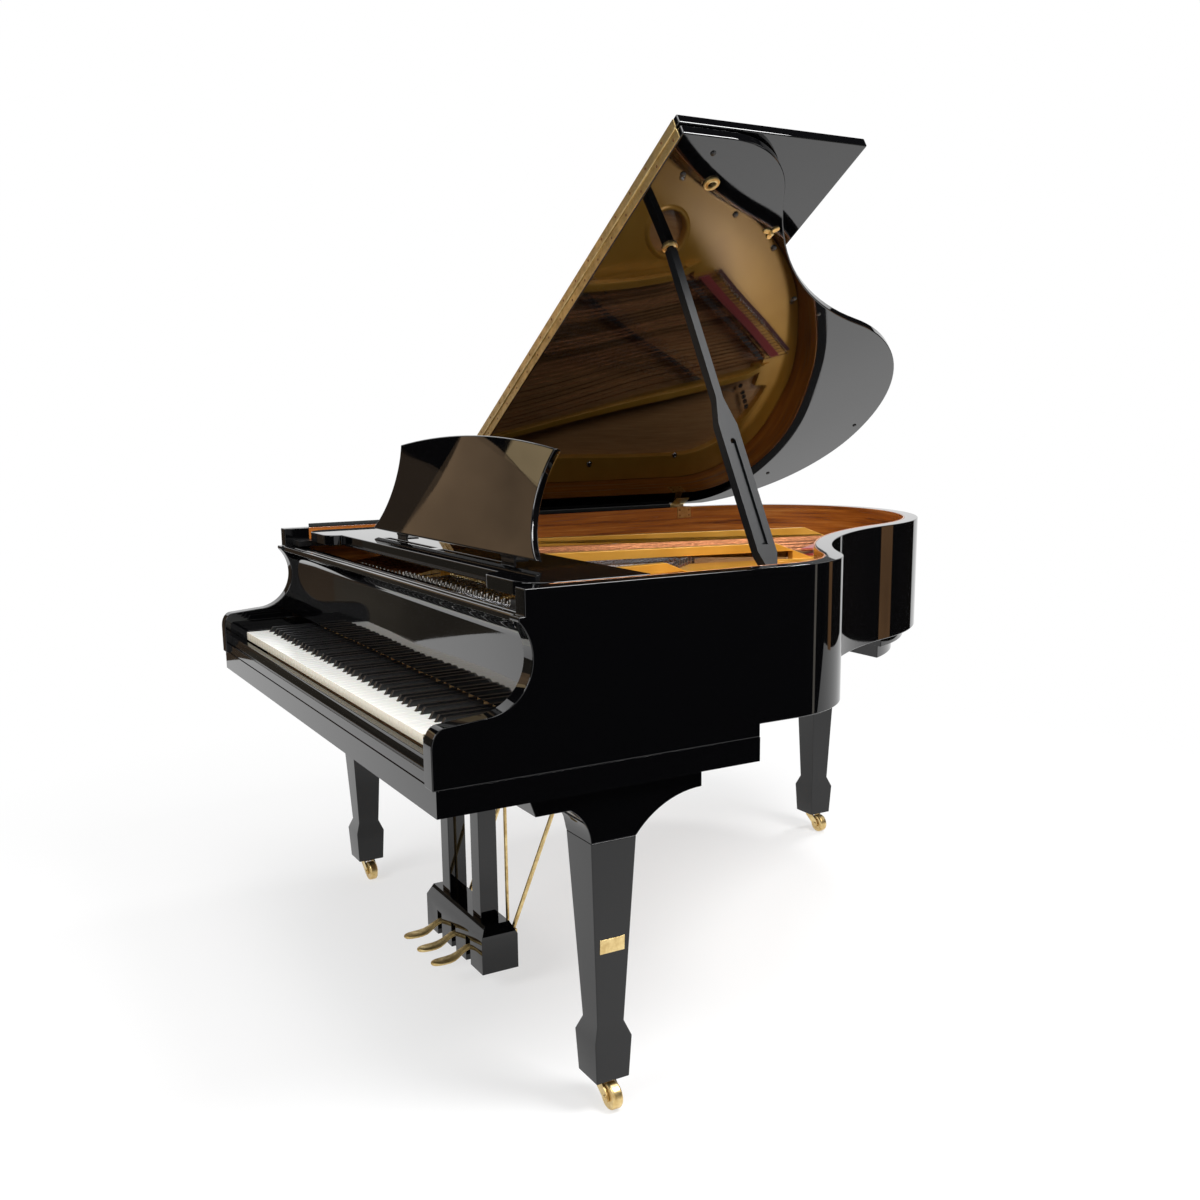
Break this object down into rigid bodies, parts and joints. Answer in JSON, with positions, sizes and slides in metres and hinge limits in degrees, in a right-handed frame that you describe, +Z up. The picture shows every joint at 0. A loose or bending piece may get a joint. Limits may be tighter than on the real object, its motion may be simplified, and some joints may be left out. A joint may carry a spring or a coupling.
{
  "type": "grand piano",
  "caption": "Black lacquered grand piano with its lid open on a folding prop, music desk raised, working keys, pedals and casters.",
  "frame": {"origin": "on the floor under the middle of the closed case", "axes": "+X to the treble side (the player's right), +Y from the keys to the tail, +Z up"},
  "size_m": [1.5061, 1.886, 1.8366],
  "materials": {
    "black_lacquer": "black lacquer, polished to a mirror",
    "satin_black_wood": "black, satin",
    "brown_veneer": "streaked red-brown veneer, semi-gloss",
    "beech_wood": "planed, clear satin",
    "spruce_wood": "clear satin varnish",
    "gold_iron": "bronze-gold paint, satin",
    "pin_steel": "drawn, bright",
    "copper_wire": "copper-wound, bright",
    "red_felt": "pressed felt",
    "damper_wood": "black, satin",
    "white_key": "white key covering, polished",
    "black_key": "black, satin",
    "hammer_felt": "wood shank and felt head",
    "polished_brass": "polished and lacquered"
  },
  "bodies": {
    "case": {"outer_rim": "black_lacquer", "rim_veneer": "brown_veneer", "inner_rim": "beech_wood", "belly_rail": "beech_wood", "back_beams": "beech_wood", "soundboard": "spruce_wood", "soundboard_ribs": "spruce_wood", "bridges": "beech_wood", "iron_plate": "gold_iron", "pin_block": "beech_wood", "tuning_pins": "pin_steel", "plain_strings": "pin_steel", "wound_strings": "copper_wire", "string_felt": "red_felt", "key_bed": "satin_black_wood", "key_slip": "black_lacquer", "key_blocks": "black_lacquer", "leg_corbels": "black_lacquer", "tail_blocks": "black_lacquer", "leg_plaque": "polished_brass", "treble_leg": "black_lacquer", "bass_leg": "black_lacquer", "tail_leg": "black_lacquer", "caster_sockets": "polished_brass", "lyre_frame": "black_lacquer", "lyre_box": "black_lacquer", "lyre_braces": "polished_brass", "desk_rails": "beech_wood", "lid_hinge_lower": "polished_brass", "prop_bracket": "polished_brass"},
    "lid": {"lid_main": "black_lacquer", "flap_hinge_main_leaf": "polished_brass", "lid_hinge_upper": "polished_brass", "lid_cups": "polished_brass"},
    "front_flap": {"lid_flap": "black_lacquer", "flap_hinge_flap_leaf": "polished_brass"},
    "long_prop": {"prop_stick": "black_lacquer"},
    "small_prop": {"short_prop": "black_lacquer"},
    "desk": {"desk_shelf": "black_lacquer", "desk_hinges": "polished_brass"},
    "desk_leaf": {"desk_panel": "black_lacquer"},
    "key_cover": {"fallboard": "black_lacquer"},
    "action": {"action_frame": "beech_wood"},
    "naturals": {"natural_keys": "white_key"},
    "sharps": {"sharp_keys": "black_key"},
    "natural_strikers": {"natural_hammers": "hammer_felt"},
    "sharp_strikers": {"sharp_hammers": "hammer_felt"},
    "damper_set": {"dampers": "damper_wood"},
    "left_lever": {"left_pedal": "polished_brass"},
    "left_rod": {"left_pedal_rod": "polished_brass"},
    "middle_lever": {"middle_pedal": "polished_brass"},
    "middle_rod": {"middle_pedal_rod": "polished_brass"},
    "right_lever": {"right_pedal": "polished_brass"},
    "right_rod": {"right_pedal_rod": "polished_brass"},
    "treble_swivel": {"treble_caster_fork": "polished_brass"},
    "treble_roller": {"treble_caster_wheel": "polished_brass"},
    "bass_swivel": {"bass_caster_fork": "polished_brass"},
    "bass_roller": {"bass_caster_wheel": "polished_brass"},
    "tail_swivel": {"tail_caster_fork": "polished_brass"},
    "tail_roller": {"tail_caster_wheel": "polished_brass"}
  },
  "joints": [
    {"name": "lid_hinge", "type": "hinge", "parent": "case", "child": "lid", "pos_m": [-0.745, 0.1692, 1.006], "axis": [0, -1, 0], "range_deg": [0, 50]},
    {"name": "flap_hinge", "type": "hinge", "parent": "lid", "child": "front_flap", "pos_m": [-0.1264, -0.308, 1.42191], "axis": [0.848, 0, 0.5299], "range_deg": [0, 165]},
    {"name": "prop_fold", "type": "hinge", "parent": "case", "child": "long_prop", "pos_m": [0.658, -0.195, 0.978], "axis": [-0.6055, -0.7216, -0.3356], "range_deg": [0, 65]},
    {"name": "short_prop_swing", "type": "hinge", "parent": "long_prop", "child": "small_prop", "pos_m": [0.6236, -0.19258, 1.03486], "axis": [0, 0.9991, -0.0426], "range_deg": [0, 60]},
    {"name": "desk_slide", "type": "slide", "parent": "case", "child": "desk", "axis": [0, 1, 0], "range_m": [0, 0.12]},
    {"name": "desk_tilt", "type": "hinge", "parent": "desk", "child": "desk_leaf", "pos_m": [0, -0.5834, 1.008], "axis": [-1, 0, 0], "range_deg": [0, 70]},
    {"name": "fallboard_hinge", "type": "hinge", "parent": "case", "child": "key_cover", "pos_m": [0, -0.728, 0.795], "axis": [1, 0, 0], "range_deg": [0, 75]},
    {"name": "natural_press", "type": "hinge", "parent": "action", "child": "naturals", "pos_m": [0, -0.679, 0.73], "axis": [1, 0, 0], "range_deg": [0, 2.4], "stiffness_Nm_per_rad": 40, "springref_deg": -2.86},
    {"name": "sharp_press", "type": "hinge", "parent": "action", "child": "sharps", "pos_m": [0, -0.679, 0.73], "axis": [1, 0, 0], "range_deg": [0, 2.4], "stiffness_Nm_per_rad": 30, "springref_deg": -2.86},
    {"name": "natural_strike", "type": "hinge", "parent": "action", "child": "natural_strikers", "pos_m": [0, -0.59, 0.8153], "axis": [1, 0, 0], "range_deg": [0, 15.1]},
    {"name": "sharp_strike", "type": "hinge", "parent": "action", "child": "sharp_strikers", "pos_m": [0, -0.59, 0.8153], "axis": [1, 0, 0], "range_deg": [0, 15.1]},
    {"name": "action_shift", "type": "slide", "parent": "case", "child": "action", "axis": [1, 0, 0], "range_m": [0, 0.0026]},
    {"name": "damper_lift", "type": "slide", "parent": "case", "child": "damper_set", "axis": [0, 0, 1], "range_m": [0, 0.0061]},
    {"name": "left_pedal_press", "type": "hinge", "parent": "case", "child": "left_lever", "pos_m": [-0.085, -0.565, 0.086], "axis": [1, 0, 0], "range_deg": [0, 8], "stiffness_Nm_per_rad": 10, "springref_deg": -8.59},
    {"name": "left_rod_lift", "type": "slide", "parent": "case", "child": "left_rod", "axis": [0, 0, 1], "range_m": [0, 0.009]},
    {"name": "middle_pedal_press", "type": "hinge", "parent": "case", "child": "middle_lever", "pos_m": [0, -0.565, 0.086], "axis": [1, 0, 0], "range_deg": [0, 8], "stiffness_Nm_per_rad": 10, "springref_deg": -8.59},
    {"name": "middle_rod_lift", "type": "slide", "parent": "case", "child": "middle_rod", "axis": [0, 0, 1], "range_m": [0, 0.009]},
    {"name": "right_pedal_press", "type": "hinge", "parent": "case", "child": "right_lever", "pos_m": [0.085, -0.565, 0.086], "axis": [1, 0, 0], "range_deg": [0, 8], "stiffness_Nm_per_rad": 10, "springref_deg": -8.59},
    {"name": "right_rod_lift", "type": "slide", "parent": "case", "child": "right_rod", "axis": [0, 0, 1], "range_m": [0, 0.009]},
    {"name": "treble_caster_swivel", "type": "hinge", "parent": "case", "child": "treble_swivel", "pos_m": [0.676, -0.59, 0.026], "axis": [0, 0, 1], "continuous": true},
    {"name": "treble_caster_roll", "type": "hinge", "parent": "treble_swivel", "child": "treble_roller", "pos_m": [0.706, -0.59, 0.026], "axis": [0, 1, 0], "continuous": true},
    {"name": "bass_caster_swivel", "type": "hinge", "parent": "case", "child": "bass_swivel", "pos_m": [-0.676, -0.59, 0.026], "axis": [0, 0, 1], "continuous": true},
    {"name": "bass_caster_roll", "type": "hinge", "parent": "bass_swivel", "child": "bass_roller", "pos_m": [-0.646, -0.59, 0.026], "axis": [0, 1, 0], "continuous": true},
    {"name": "tail_caster_swivel", "type": "hinge", "parent": "case", "child": "tail_swivel", "pos_m": [-0.336, 0.76, 0.026], "axis": [0, 0, 1], "continuous": true},
    {"name": "tail_caster_roll", "type": "hinge", "parent": "tail_swivel", "child": "tail_roller", "pos_m": [-0.306, 0.76, 0.026], "axis": [0, 1, 0], "continuous": true}
  ],
  "couplings": [
    {"joint": "natural_strike", "follows": "natural_press", "ratio": 6.25},
    {"joint": "sharp_strike", "follows": "sharp_press", "ratio": 6.25},
    {"joint": "left_rod_lift", "follows": "left_pedal_press", "m_per_rad": 0.0625},
    {"joint": "middle_rod_lift", "follows": "middle_pedal_press", "m_per_rad": 0.0625},
    {"joint": "right_rod_lift", "follows": "right_pedal_press", "m_per_rad": 0.0625},
    {"joint": "action_shift", "follows": "left_pedal_press", "m_per_rad": 0.0179},
    {"joint": "damper_lift", "follows": "right_pedal_press", "m_per_rad": 0.04297}
  ]
}
